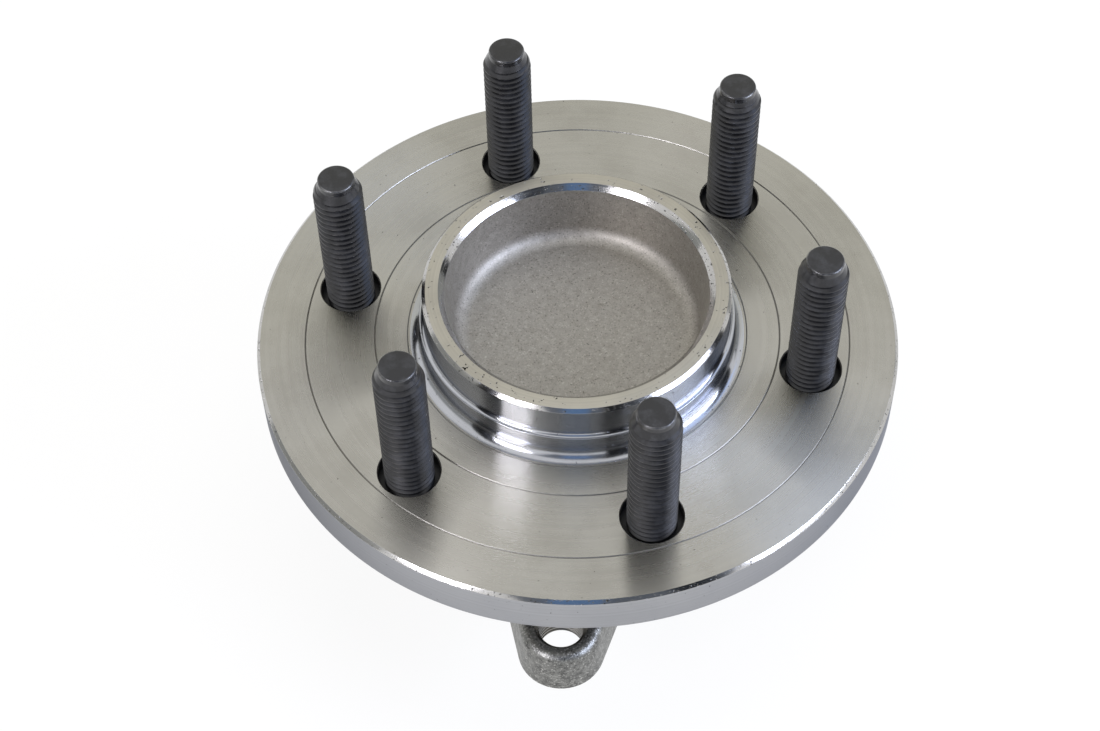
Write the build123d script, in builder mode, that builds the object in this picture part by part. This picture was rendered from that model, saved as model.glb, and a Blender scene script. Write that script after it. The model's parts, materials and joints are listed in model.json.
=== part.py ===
from build123d import *
import os
from math import cos, floor, pi, radians, tan

# Flanged wheel hub bearing, not driven: a forged hub with its studs turns in a lugged outer ring on two rows
# of angular-contact balls. Millimetres, Z is the spin axis and points to the wheel, and the origin is where
# the spin axis meets the flange's wheel face. One lug of the outer ring lies on -Y.

# Wheel side of the hub
stud_circle = 135.0
stud_count = 6
first_stud_angle = -9.2
flange_rim = 24.1
flange_thickness = 13.2
flange_edge_chamfer = 0.95
edge_break = 0.5
pilot_diameter = 87.0
pilot_height = 18.6
pilot_chamfer = 1.0
pilot_wall = 6.2
pilot_bore_chamfer = 1.6
brake_pilot_step = 1.3
brake_pilot_height = 7.7
pilot_root_fillet = 1.15
brake_root_fillet = 3.0
relief_width = 3.9
relief_depth = 0.3
cup_floor = -0.3
cup_draft = 8.0
cup_fillet = 5.0
inner_line_inset = 9.6
outer_line_outset = 10.25
turned_line_width = 0.5
turned_line_depth = 0.3

# Wheel studs, M14 x 2.0
stud_diameter = 13.8
stud_height = 47.2
stud_nose_diameter = 10.3
stud_nose_length = 2.0
stud_cone_length = 3.2
stud_shoulder_diameter = 15.9
stud_mouth_clearance = 0.65
stud_mouth_depth = 3.6
stud_mouth_chamfer = 0.3
stud_head_rim = 3.2
stud_head_height = 5.0
stud_head_chamfer = 0.9

# Outer ring: spigot in the knuckle, forged barrel and tapped lugs
spigot_diameter = 99.0
spigot_wall = 5.0
spigot_lead = 1.5
spigot_lead_in = 0.5
spigot_relief = 0.9
barrel_wall = 6.4
barrel_draft = 2.0
barrel_fillet = 4.0
knuckle_face_depth = 52.0
lug_count = 4
lug_circle = 153.0
lug_thickness = 14.8
lug_wall = 6.1
lug_splay = 15.0
lug_draft = 5.0
first_lug_angle = -90.0
lug_collar_land = 0.6
lug_root_fillet = 9.0
lug_edge_round = 2.8
lug_edge_chamfer = 0.8
tapped_diameter = 12.6
tapped_chamfer = 1.2

# Balls, raceways and cages
ball_diameter = 15.875
row_spacing = 27.0
race_gap = 0.15
pocket_gap = 0.2
high_shoulder = 2.1
low_lip = 0.4
cage_bar = 3.0
cage_wall = 5.8
cage_base = 1.7
cage_race_gap = 1.2
cage_claw_reach = 2.8
cage_claw_gap = 2.0
cage_claw_depth = 4.2

# Spindle, inner ring and rolled collar
inner_ring_wall = 4.4
inner_ring_chamfer = 1.5
spindle_root_fillet = 1.0
collar_rim = 7.0
collar_height = 4.4
collar_round = 2.5
spindle_wall = 9.0
spindle_recess = 16.0
recess_round = 3.0
neck_fillet = 3.6

# Seals, encoder and end cap
flange_ring_gap = 3.2
seal_height = 6.8
seal_section = 7.5
seal_step = 1.45
seal_inset = 0.6
seal_sheet = 1.0
seal_cage_gap = 0.9
seal_flange_gap = 3.0
lip_gap = 0.25
lip_root = 1.6
lip_tip = 0.5
dust_lip_rise = 1.75
face_lip_lean = 1.0
slinger_sheet = 0.7
slinger_rim_gap = 1.3
encoder_thickness = 0.9
encoder_width = 7.4
encoder_cap_gap = 1.0
cap_sheet = 1.0
cap_bend = 0.8
cap_dome_gap = 1.2
cap_dome_slope = 0.8
cap_seat_inset = 0.4
cap_bead_height = 0.6
cap_bead_width = 1.6

# Radii that follow
pilot_r = pilot_diameter / 2
brake_pilot_r = pilot_r + brake_pilot_step
relief_r = brake_pilot_r + relief_width
cup_mouth_r = pilot_r - pilot_wall
cup_mouth_z = pilot_height - pilot_bore_chamfer
cup_foot_r = cup_mouth_r - (cup_mouth_z - cup_floor) * tan(radians(cup_draft))
stud_circle_r = stud_circle / 2
flange_r = stud_circle_r + flange_rim
stud_r = stud_diameter / 2
stud_nose_r = stud_nose_diameter / 2
stud_shoulder_r = stud_shoulder_diameter / 2
stud_mouth_r = stud_shoulder_r + stud_mouth_clearance
stud_head_r = stud_shoulder_r + stud_head_rim
ball_r = ball_diameter / 2
groove_r = ball_r + race_gap
pocket_r = ball_r + pocket_gap
spigot_r = spigot_diameter / 2
pitch_r = spigot_r - spigot_wall - groove_r
barrel_r = pitch_r + groove_r + barrel_wall
rib_r = pitch_r + high_shoulder
outer_land_r = pitch_r + groove_r - low_lip
shoulder_r = pitch_r - high_shoulder
inner_land_r = pitch_r - groove_r + low_lip
seat_r = pitch_r - groove_r - inner_ring_wall
collar_r = seat_r + collar_rim
recess_r = seat_r - spindle_wall
seal_bore_r = pitch_r + groove_r + seal_step
seal_land_r = seal_bore_r - seal_section
cage_inner_r = shoulder_r + cage_race_gap
cage_outer_r = cage_inner_r + cage_wall
slinger_r = shoulder_r + slinger_sheet
slinger_rim_r = seal_bore_r - slinger_rim_gap
lug_circle_r = lug_circle / 2
tapped_r = tapped_diameter / 2
lug_nose_r = tapped_r + lug_wall
barrel_foot_r = barrel_r + barrel_draft
lug_lean = lug_thickness * tan(radians(lug_draft))
lug_collar_r = barrel_foot_r + barrel_fillet + lug_collar_land + lug_edge_round + lug_lean

# Heights that follow, from the wheel face down
flange_back_z = -flange_thickness
ring_top_z = flange_back_z - flange_ring_gap
outboard_seal_z = ring_top_z - seal_height
cage_reach = pocket_r + cage_base
outboard_row_z = outboard_seal_z - seal_cage_gap - cage_reach
inboard_row_z = outboard_row_z - row_spacing
ring_seat_z = (outboard_row_z + inboard_row_z) / 2
inboard_seal_z = inboard_row_z - cage_reach - seal_cage_gap
inner_face_z = inboard_seal_z - seal_height
encoder_face_z = inner_face_z - encoder_thickness
collar_end_z = inner_face_z - collar_height
cap_face_z = encoder_face_z - encoder_cap_gap
cap_dome_z = collar_end_z - encoder_cap_gap
ring_end_z = cap_dome_z - cap_sheet - cap_seat_inset
knuckle_face_z = -knuckle_face_depth
lug_top_z = knuckle_face_z + lug_thickness
ball_count = floor(2 * pi * pitch_r / (ball_diameter + cage_bar))

# How near a point or an edge must lie to be the one meant
fine = 1e-3


def turned_face(corners):
    """Fills a closed half section given as radius, height and rounding of each corner."""
    with BuildLine() as outline:
        Polyline([(radius, height) for radius, height, _ in corners], close=True)
    section = make_face(outline.edges())
    for radius, height, rounding in corners:
        if rounding:
            section = fillet(section.vertices().sort_by_distance((radius, height))[0], rounding)


def raceway(row_z):
    """Cuts the ball groove of one row out of the part being turned."""
    with BuildSketch(Plane.XZ) as groove:
        with Locations((pitch_r, row_z)):
            Circle(groove_r)
    revolve(groove.sketch, axis=Axis.Z, mode=Mode.SUBTRACT)


def turned_line(line_r):
    """The three corners of one fine V line that the turning tool left in the wheel face."""
    half = turned_line_width / 2
    return [(line_r - half, 0, 0), (line_r, -turned_line_depth, 0), (line_r + half, 0, 0)]


def circles(builder, radius, height):
    """The round edges of this radius at this height."""
    level = builder.edges().filter_by(GeomType.CIRCLE).filter_by_position(Axis.Z, height - fine, height + fine)
    return level.filter_by(lambda edge: abs(edge.radius - radius) < fine)


def save(part, name):
    """Labels a finished piece and writes it under its name."""
    part.label = name
    export_step(part, f"parts/{name}.step")


os.makedirs("parts", exist_ok=True)

# Hub: wheel flange with pilot and blind cup, seal land, outboard raceway, spindle and rolled collar
with BuildPart() as hub_flange:
    with BuildSketch(Plane.XZ):
        turned_face(
            [
                (0, cup_floor, 0),
                (cup_foot_r, cup_floor, cup_fillet),
                (cup_mouth_r, cup_mouth_z, 0),
                (cup_mouth_r + pilot_bore_chamfer, pilot_height, 0),
                (pilot_r - pilot_chamfer, pilot_height, 0),
                (pilot_r, pilot_height - pilot_chamfer, 0),
                (pilot_r, brake_pilot_height, pilot_root_fillet),
                (brake_pilot_r, brake_pilot_height, 0),
                (brake_pilot_r, -relief_depth, brake_root_fillet),
                (relief_r - relief_depth, -relief_depth, 0),
                (relief_r, 0, 0),
                *turned_line(stud_circle_r - inner_line_inset),
                *turned_line(stud_circle_r + outer_line_outset),
                (flange_r - flange_edge_chamfer, 0, 0),
                (flange_r, -flange_edge_chamfer, 0),
                (flange_r, flange_back_z + edge_break, 0),
                (flange_r - edge_break, flange_back_z, 0),
                (seal_land_r, flange_back_z, neck_fillet),
                (seal_land_r, outboard_seal_z, 0),
                (shoulder_r, outboard_seal_z, 0),
                (shoulder_r, outboard_row_z, 0),
                (inner_land_r, outboard_row_z, 0),
                (inner_land_r, ring_seat_z, 0),
                (seat_r, ring_seat_z, spindle_root_fillet),
                (seat_r, inner_face_z + inner_ring_chamfer, 0),
                (seat_r + inner_ring_chamfer, inner_face_z, 0),
                (collar_r, inner_face_z, 0),
                (collar_r, collar_end_z, collar_round),
                (recess_r, collar_end_z, collar_round),
                (recess_r, collar_end_z + spindle_recess, recess_round),
                (0, collar_end_z + spindle_recess, 0),
            ]
        )
    revolve(axis=Axis.Z)
    raceway(outboard_row_z)
    with PolarLocations(stud_circle_r, stud_count, start_angle=first_stud_angle):
        CounterBoreHole(stud_shoulder_r, stud_mouth_r, stud_mouth_depth)
    chamfer(circles(hub_flange, stud_mouth_r, 0), stud_mouth_chamfer)
save(hub_flange.part, "hub_flange")

# Wheel studs, each turned about its own axis: nose, cone, thread size, serrated shoulder size and head
for number in range(stud_count):
    stud_angle = first_stud_angle + number * 360 / stud_count
    stud_foot = Vector(stud_circle_r, 0, 0).rotate(Axis.Z, stud_angle)
    stud_plane = Plane(origin=stud_foot, x_dir=stud_foot.normalized(), z_dir=stud_foot.cross(Vector(0, 0, 1)))
    cone_z = stud_height - stud_nose_length - stud_cone_length
    shoulder_z = -stud_mouth_depth
    with BuildPart() as wheel_stud:
        with BuildSketch(stud_plane):
            turned_face(
                [
                    (0, stud_height, 0),
                    (stud_nose_r, stud_height, 0),
                    (stud_nose_r, stud_height - stud_nose_length, 0),
                    (stud_r, cone_z, 0),
                    (stud_r, shoulder_z, 0),
                    (stud_shoulder_r, shoulder_z, 0),
                    (stud_shoulder_r, flange_back_z, 0),
                    (stud_head_r, flange_back_z, 0),
                    (stud_head_r, flange_back_z - stud_head_height + stud_head_chamfer, 0),
                    (stud_head_r - stud_head_chamfer, flange_back_z - stud_head_height, 0),
                    (0, flange_back_z - stud_head_height, 0),
                ]
            )
        revolve(axis=Axis(stud_foot, (0, 0, 1)))
    save(wheel_stud.part, f"wheel_stud_{number + 1}")

# Outer ring: four splayed lugs round a collar, then the barrel and spigot turned through them
with BuildSketch() as lug:
    root_r = spigot_r - spigot_wall
    root_width = 2 * (lug_nose_r / cos(radians(lug_splay)) + (lug_circle_r - root_r) * tan(radians(lug_splay)))
    with Locations((lug_circle_r, 0)):
        Circle(lug_nose_r)
    with Locations((root_r, 0)):
        Rectangle(lug_wall, root_width)
    make_hull()

with BuildPart() as outer_ring:
    with BuildSketch(Plane.XY.offset(knuckle_face_z)) as lug_plan:
        Circle(lug_collar_r)
        with PolarLocations(0, lug_count, start_angle=first_lug_angle):
            add(lug.sketch)
        corners = lug_plan.vertices().filter_by(lambda v: abs(Vector(*v).length - lug_collar_r) < fine)
        fillet(corners, lug_root_fillet)
    extrude(amount=lug_thickness)
    sides = outer_ring.faces().filter_by(Axis.Z, reverse=True)
    draft(sides, Plane.XY.offset(knuckle_face_z), lug_draft)
    fillet(outer_ring.faces().sort_by(Axis.Z)[-1].edges(), lug_edge_round)
    chamfer(outer_ring.faces().sort_by(Axis.Z)[0].edges(), lug_edge_chamfer)
    with BuildSketch(Plane.XZ):
        turned_face(
            [
                (rib_r, ring_top_z, 0),
                (barrel_r - edge_break, ring_top_z, 0),
                (barrel_r, ring_top_z - edge_break, 0),
                (barrel_foot_r, lug_top_z, 0),
                (barrel_foot_r, knuckle_face_z, 0),
                (spigot_r, knuckle_face_z, 0),
                (spigot_r, ring_end_z + spigot_lead, 0),
                (spigot_r - spigot_lead_in, ring_end_z, 0),
                (rib_r, ring_end_z, 0),
            ]
        )
    revolve(axis=Axis.Z)
    fillet(circles(outer_ring, barrel_foot_r, lug_top_z), barrel_fillet)
    with BuildSketch(Plane.XZ):
        turned_face(
            [
                (0, ring_top_z, 0),
                (seal_bore_r + edge_break, ring_top_z, 0),
                (seal_bore_r, ring_top_z - edge_break, 0),
                (seal_bore_r, outboard_seal_z, 0),
                (outer_land_r, outboard_seal_z, 0),
                (outer_land_r, outboard_row_z, 0),
                (rib_r, outboard_row_z, 0),
                (rib_r, inboard_row_z, 0),
                (outer_land_r, inboard_row_z, 0),
                (outer_land_r, inboard_seal_z, 0),
                (seal_bore_r, inboard_seal_z, 0),
                (seal_bore_r, ring_end_z + edge_break, 0),
                (seal_bore_r + edge_break, ring_end_z, 0),
                (0, ring_end_z, 0),
            ]
        )
    revolve(axis=Axis.Z, mode=Mode.SUBTRACT)
    raceway(outboard_row_z)
    raceway(inboard_row_z)
    with BuildSketch(Plane.XZ):
        with Locations((spigot_r, knuckle_face_z)):
            Circle(spigot_relief)
    revolve(axis=Axis.Z, mode=Mode.SUBTRACT)
    with Locations(Plane.XY.offset(lug_top_z)):
        with PolarLocations(lug_circle_r, lug_count, start_angle=first_lug_angle):
            Hole(tapped_r, depth=lug_thickness)
    chamfer(circles(outer_ring, tapped_r, lug_top_z), tapped_chamfer)
    chamfer(circles(outer_ring, tapped_r, knuckle_face_z), tapped_chamfer)
save(outer_ring.part, "outer_ring")

# Inner ring of the inboard row
with BuildPart() as inner_ring:
    with BuildSketch(Plane.XZ):
        turned_face(
            [
                (seat_r + inner_ring_chamfer, ring_seat_z, 0),
                (inner_land_r, ring_seat_z, 0),
                (inner_land_r, inboard_row_z, 0),
                (shoulder_r, inboard_row_z, 0),
                (shoulder_r, inner_face_z, 0),
                (seat_r + inner_ring_chamfer, inner_face_z, 0),
                (seat_r, inner_face_z + inner_ring_chamfer, 0),
                (seat_r, ring_seat_z - inner_ring_chamfer, 0),
            ]
        )
    revolve(axis=Axis.Z)
    raceway(inboard_row_z)
save(inner_ring.part, "inner_ring")


def make_ball(row_z, angle):
    """One ball of a row, at its place on the pitch circle."""
    with BuildPart() as ball:
        with Locations(Vector(pitch_r, 0, row_z).rotate(Axis.Z, angle)):
            Sphere(ball_r)
    return ball.part


def make_cage(row_z, outward):
    """A crown cage: a ring on the seal side of its balls, round pockets, and claws that snap over the balls."""
    back_z = row_z + outward * cage_reach
    claw_z = row_z - outward * cage_claw_reach
    low_z = min(back_z, claw_z)
    with BuildPart() as cage:
        with BuildSketch(Plane.XY.offset(low_z)):
            Circle(cage_outer_r)
            Circle(cage_inner_r, mode=Mode.SUBTRACT)
        extrude(amount=abs(back_z - claw_z))
        with Locations(Plane.XY.offset(row_z)):
            with PolarLocations(pitch_r, ball_count):
                Sphere(pocket_r, mode=Mode.SUBTRACT)
        with BuildSketch(Plane.XY.offset(claw_z)):
            with PolarLocations(0, ball_count, start_angle=180 / ball_count):
                Rectangle(cage_outer_r + cage_wall, cage_claw_gap, align=(Align.MIN, Align.CENTER))
        extrude(amount=outward * cage_claw_depth, mode=Mode.SUBTRACT)
    return cage.part


def make_seal_case(open_z, seat_z, outward):
    """A pressed steel case: a sleeve in the outer ring's bore and a flange at its seat."""
    rim_z = open_z - outward * seal_inset
    inner_z = seat_z + outward * seal_sheet
    with BuildPart() as case:
        with BuildSketch(Plane.XZ):
            turned_face(
                [
                    (seal_bore_r, rim_z, 0),
                    (seal_bore_r, seat_z, 0),
                    (seal_land_r + seal_flange_gap, seat_z, 0),
                    (seal_land_r + seal_flange_gap, inner_z, 0),
                    (seal_bore_r - seal_sheet, inner_z, 0),
                    (seal_bore_r - seal_sheet, rim_z, 0),
                ]
            )
        revolve(axis=Axis.Z)
    return case.part


def make_seal_lips(shaft_r, seat_z, counterface_z, outward):
    """Rubber bonded round the case's inner edge: two lips to the shaft and one to the counterface."""
    case_r = seal_land_r + seal_flange_gap
    root_r = shaft_r + lip_root
    tip_r = shaft_r + lip_gap
    wall_r = seal_bore_r - seal_sheet
    flange_z = seat_z + outward * seal_sheet
    skin_z = flange_z + outward * lip_tip
    dust_z = flange_z + outward * dust_lip_rise
    face_z = counterface_z - outward * lip_gap
    with BuildPart() as lips:
        with BuildSketch(Plane.XZ):
            turned_face(
                [
                    (wall_r, flange_z, 0),
                    (case_r, flange_z, 0),
                    (case_r, seat_z, 0),
                    (root_r, seat_z, 0),
                    (tip_r, seat_z, 0),
                    (tip_r, seat_z + outward * lip_tip, 0),
                    (root_r, flange_z, 0),
                    (tip_r, dust_z, 0),
                    (tip_r, dust_z + outward * lip_tip, 0),
                    (root_r + lip_tip, skin_z, 0),
                    (case_r, skin_z, 0),
                    (case_r + face_lip_lean, face_z, 0),
                    (case_r + face_lip_lean + lip_tip, face_z, 0),
                    (case_r + face_lip_lean + lip_tip, skin_z, 0),
                    (wall_r, skin_z, 0),
                ]
            )
        revolve(axis=Axis.Z)
    return lips.part


# Two rows of balls, each in its cage
for row, row_z, outward in (("outboard", outboard_row_z, 1), ("inboard", inboard_row_z, -1)):
    save(make_cage(row_z, outward), f"{row}_cage")
    for number in range(ball_count):
        save(make_ball(row_z, number * 360 / ball_count), f"{row}_ball_{number + 1:02d}")

# Outboard seal, which runs on the hub's ground land and on the back of the flange
save(make_seal_case(ring_top_z, outboard_seal_z, 1), "outboard_seal_case")
save(make_seal_lips(seal_land_r, outboard_seal_z, flange_back_z, 1), "outboard_seal_lips")

# Inboard seal, which runs on the slinger
slinger_face_z = inner_face_z + slinger_sheet
save(make_seal_case(inner_face_z, inboard_seal_z, -1), "inboard_seal_case")
save(make_seal_lips(slinger_r, inboard_seal_z, slinger_face_z, -1), "inboard_seal_lips")

# Slinger: an L of stainless sheet pressed on the inner ring
with BuildPart() as inboard_slinger:
    with BuildSketch(Plane.XZ):
        turned_face(
            [
                (shoulder_r, inner_face_z, 0),
                (slinger_rim_r, inner_face_z, 0),
                (slinger_rim_r, slinger_face_z, 0),
                (slinger_r, slinger_face_z, 0),
                (slinger_r, inboard_seal_z - seal_inset, 0),
                (shoulder_r, inboard_seal_z - seal_inset, 0),
            ]
        )
    revolve(axis=Axis.Z)
save(inboard_slinger.part, "inboard_slinger")

# Magnetised rubber ring on the slinger's face
with BuildPart() as encoder_ring:
    with BuildSketch(Plane.XY.offset(encoder_face_z)):
        Circle(slinger_rim_r)
        Circle(slinger_rim_r - encoder_width, mode=Mode.SUBTRACT)
    extrude(amount=encoder_thickness)
save(encoder_ring.part, "encoder_ring")

# End cap: skirt in the bore, flat reading face over the encoder, dome over the rolled collar
dome_r = collar_r + cap_dome_gap
with BuildPart() as end_cap:
    with BuildSketch(Plane.XZ):
        turned_face(
            [
                (0, cap_dome_z, 0),
                (dome_r, cap_dome_z, cap_bend),
                (dome_r + cap_dome_slope, cap_face_z, cap_bend + cap_sheet),
                (seal_bore_r, cap_face_z, cap_bend),
                (seal_bore_r, ring_end_z + cap_seat_inset, 0),
                (seal_bore_r - cap_sheet, ring_end_z + cap_seat_inset, 0),
                (seal_bore_r - cap_sheet, cap_face_z - cap_sheet, 0),
                (dome_r + cap_dome_slope + cap_sheet, cap_face_z - cap_sheet, cap_bend),
                (dome_r + cap_sheet, cap_dome_z - cap_sheet, cap_bend + cap_sheet),
                (0, cap_dome_z - cap_sheet, 0),
            ]
        )
    revolve(axis=Axis.Z)
save(end_cap.part, "end_cap")

# Rubber bead between the cap's shoulder and the bore
with BuildPart() as end_cap_seal:
    with BuildSketch(Plane.XY.offset(cap_face_z)):
        Circle(seal_bore_r)
        Circle(seal_bore_r - cap_bead_width, mode=Mode.SUBTRACT)
    extrude(amount=cap_bead_height)
save(end_cap_seal.part, "end_cap_seal")
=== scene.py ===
import json
import logging
import math
from dataclasses import dataclass
from enum import Enum
from functools import cache

import bpy
from bpy.types import Material, MeshPolygon, Node, NodeSocket, NodeTree, Object, World
from mathutils import Matrix, Vector


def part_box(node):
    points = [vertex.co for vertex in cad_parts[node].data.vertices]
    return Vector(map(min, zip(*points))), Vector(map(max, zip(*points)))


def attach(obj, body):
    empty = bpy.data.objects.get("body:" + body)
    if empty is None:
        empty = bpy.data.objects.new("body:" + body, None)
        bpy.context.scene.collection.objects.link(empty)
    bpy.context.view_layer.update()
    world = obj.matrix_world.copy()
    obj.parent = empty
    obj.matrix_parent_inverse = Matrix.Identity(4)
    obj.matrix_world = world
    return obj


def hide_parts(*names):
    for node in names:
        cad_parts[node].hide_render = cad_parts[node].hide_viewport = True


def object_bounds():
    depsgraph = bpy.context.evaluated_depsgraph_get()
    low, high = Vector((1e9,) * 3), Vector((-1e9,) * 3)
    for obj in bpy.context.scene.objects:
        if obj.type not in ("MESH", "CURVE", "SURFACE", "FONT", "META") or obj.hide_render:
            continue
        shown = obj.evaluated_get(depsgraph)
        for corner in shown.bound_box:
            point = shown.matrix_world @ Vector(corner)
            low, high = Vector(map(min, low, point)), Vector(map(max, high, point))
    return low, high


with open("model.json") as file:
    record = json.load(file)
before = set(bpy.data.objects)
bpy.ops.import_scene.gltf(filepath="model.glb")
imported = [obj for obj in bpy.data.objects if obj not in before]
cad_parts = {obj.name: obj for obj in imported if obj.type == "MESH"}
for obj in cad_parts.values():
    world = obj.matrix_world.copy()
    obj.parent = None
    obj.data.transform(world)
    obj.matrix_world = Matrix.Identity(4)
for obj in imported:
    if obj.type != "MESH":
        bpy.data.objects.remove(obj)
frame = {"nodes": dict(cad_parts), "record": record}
CAD_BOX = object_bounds()
NODES = frame["nodes"]

log = logging.getLogger("wheel_hub")

MM = 0.001
FULL_TURN = 2 * math.pi
WELD = 0.002 * MM  # points nearer to each other than this become one
OVERCUT = 0.12 * MM  # how far a thread cutter stands out of the crest that it cuts through
TURNED_ANGLE = math.radians(25)  # a turned or forged piece is shaded smooth up to this turn
THREAD_ANGLE = math.radians(28)  # and a threaded one up to this
STUD_HEAD_HEIGHT = 5.0 * MM
Corner = tuple[float, float, float]
Point = tuple[float, float]
Inputs = dict[str | int, object]
# A MapRange node's inputs 1 to 4 are From Min, From Max, To Min and To Max. A Mix node of colours takes
# them at 6 and 7.
SPAN = {1: 0.3, 2: 0.7}  # where most of a noise lies, as a MapRange node takes it
CLOUDY = {"Detail": 4.0, "Roughness": 0.6}  # a noise of soft clouds with smaller ones in them
GRAINY = {"Detail": 3.0, "Roughness": 0.6}  # a noise of single grains
MIXED = 2  # the output of a Mix node that gives a colour


def pick_only(piece: Object) -> None:
    """Selects one object alone and makes it the active one.

    Args:
        piece: the object that the next operators act on.
    """
    bpy.ops.object.select_all(action="DESELECT")
    piece.select_set(True)
    bpy.context.view_layer.objects.active = piece


def smooth(piece: Object, angle: float) -> None:
    """Shades a piece smooth, but for edges that turn by more than the angle."""
    pick_only(piece)
    bpy.ops.object.shade_smooth_by_angle(angle=angle)


def cut_away(piece: Object, cutter: Object) -> None:
    """Takes a cutter's volume out of a piece and deletes the cutter.

    Args:
        piece: the object that is cut.
        cutter: a closed mesh.
    """
    cut = piece.modifiers.new("cut", "BOOLEAN")
    cut.operation = "DIFFERENCE"
    cut.solver = "EXACT"
    cut.object = cutter
    pick_only(piece)
    bpy.ops.object.modifier_apply(modifier=cut.name)
    bpy.data.objects.remove(cutter)


def move(piece: Object, offset: Vector, turn: float = 0.0) -> None:
    """Turns a piece about the upright axis, then shifts it, in its mesh: the object stays at the origin."""
    piece.data.transform(Matrix.Translation(offset) @ Matrix.Rotation(turn, 4, "Z"))


def plane(name: str, size: float) -> Object:
    """Adds a square that lies at the origin.

    Args:
        name: the name of the object and of its mesh.
        size: the length of its sides.

    Returns:
        The new object.
    """
    bpy.ops.object.select_all(action="DESELECT")
    bpy.ops.mesh.primitive_plane_add(size=size)
    piece = bpy.context.object
    piece.name = piece.data.name = name
    return piece


def copy_of(piece: Object, name: str) -> Object:
    """A second object with its own mesh.

    Args:
        piece: the object to copy.
        name: the copy's name.

    Returns:
        The copy, with no parent and none of the frame's own marks.
    """
    mesh = piece.data.copy()
    mesh.name = name
    twin = bpy.data.objects.new(name, mesh)
    bpy.context.scene.collection.objects.link(twin)
    return twin


@dataclass(frozen=True)
class Outline:
    """A half section that is turned about the upright axis: radius, height and rounding of each corner."""

    corners: list[Corner]
    arc_turn: float = math.radians(11)

    def points(self) -> list[Point]:
        """Rounds the corners.

        Returns:
            The outline's points, with an arc at each rounded corner.
        """
        found: list[Point] = []
        for index, (radius, height, rounding) in enumerate(self.corners):
            if rounding:
                found += self._arc(index)
            else:
                found.append((radius, height))
        return found

    def _arc(self, index: int) -> list[Point]:
        """The points of one rounded corner.

        Args:
            index: which corner.

        Returns:
            Points along the arc that touches both neighbouring edges.
        """
        before, corner, after = (Vector(self.corners[n][:2]) for n in (index - 1, index, index + 1))
        rounding = self.corners[index][2]
        to_before, to_after = (before - corner).normalized(), (after - corner).normalized()
        half = to_before.angle(to_after) / 2
        centre = corner + (to_before + to_after).normalized() * rounding / math.sin(half)
        start = corner + to_before * rounding / math.tan(half) - centre
        end = corner + to_after * rounding / math.tan(half) - centre
        first = math.atan2(start.y, start.x)
        turn = math.remainder(math.atan2(end.y, end.x) - first, FULL_TURN)
        steps = max(2, math.ceil(abs(turn) / self.arc_turn))
        angles = (first + turn * step / steps for step in range(steps + 1))
        return [(centre.x + rounding * math.cos(a), centre.y + rounding * math.sin(a)) for a in angles]

    def turned(self, name: str, segments: int) -> Object:
        """Draws the outline vertex by vertex and spins it once round the upright axis.

        Args:
            name: the new object's name.
            segments: how many steps the full turn has.

        Returns:
            A closed mesh object with its normals outwards.
        """
        points = self.points()
        if points[0][0] > 0:
            points.append(points[0])
        piece = plane(name, MM)
        bpy.ops.object.mode_set(mode="EDIT")
        bpy.ops.mesh.merge(type="CENTER")
        bpy.ops.transform.translate(value=(points[0][0], 0, points[0][1]))
        for (from_r, from_z), (to_r, to_z) in zip(points, points[1:]):
            step = (to_r - from_r, 0, to_z - from_z)
            bpy.ops.mesh.extrude_region_move(TRANSFORM_OT_translate={"value": step})
        bpy.ops.mesh.select_all(action="SELECT")
        bpy.ops.mesh.spin(steps=segments, angle=FULL_TURN, center=(0, 0, 0), axis=(0, 0, 1))
        bpy.ops.mesh.select_all(action="SELECT")
        bpy.ops.mesh.remove_doubles(threshold=WELD)
        bpy.ops.mesh.normals_make_consistent(inside=False)
        bpy.ops.object.mode_set(mode="OBJECT")
        return piece


@dataclass(frozen=True)
class Thread:
    """A screw thread, by the groove between its crests."""

    pitch: float
    root_radius: float
    root_flat: float
    flank: float = math.radians(30)
    turn_steps: int = 40

    def cutter(self, name: str, open_r: float, start: float, turns: int) -> Object:
        """A helix with the section of the thread's groove.

        Args:
            name: the cutter's name.
            open_r: the radius past the crest, where the groove is open.
            start: the height of the helix's lower end.
            turns: how many turns the helix has.

        Returns:
            A closed mesh object.
        """
        root = self.root_flat / 2
        mouth = root + abs(open_r - self.root_radius) * math.tan(self.flank)
        section = [(self.root_radius, -root), (open_r, -mouth), (self.root_radius, root), (open_r, mouth)]
        cutter = plane(name, MM)
        for vertex, (radius, height) in zip(cutter.data.vertices, section):
            vertex.co = (radius, 0, start + height)
        screw = cutter.modifiers.new("screw", "SCREW")
        screw.axis = "Z"
        screw.angle = FULL_TURN
        screw.screw_offset = self.pitch
        screw.iterations = turns
        screw.steps = screw.render_steps = self.turn_steps
        screw.use_merge_vertices = False
        bpy.ops.object.mode_set(mode="EDIT")
        bpy.ops.mesh.select_all(action="SELECT")
        bpy.ops.mesh.delete(type="ONLY_FACE")
        bpy.ops.object.mode_set(mode="OBJECT")
        bpy.ops.object.modifier_apply(modifier=screw.name)
        bpy.ops.object.mode_set(mode="EDIT")
        bpy.ops.mesh.select_all(action="SELECT")
        bpy.ops.mesh.fill_holes(sides=0)
        bpy.ops.mesh.select_all(action="SELECT")
        bpy.ops.mesh.normals_make_consistent(inside=False)
        bpy.ops.object.mode_set(mode="OBJECT")
        return cutter


def linear(hex_colour: str) -> tuple[float, float, float, float]:
    """Turns an sRGB hex colour to Blender's linear values.

    Args:
        hex_colour: six hex digits after a hash.

    Returns:
        Red, green, blue and a full alpha.
    """
    parts = (int(hex_colour[n : n + 2], 16) / 255 for n in (1, 3, 5))
    curve = (c / 12.92 if c <= 0.04045 else ((c + 0.055) / 1.055) ** 2.4 for c in parts)
    return (*curve, 1.0)


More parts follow.
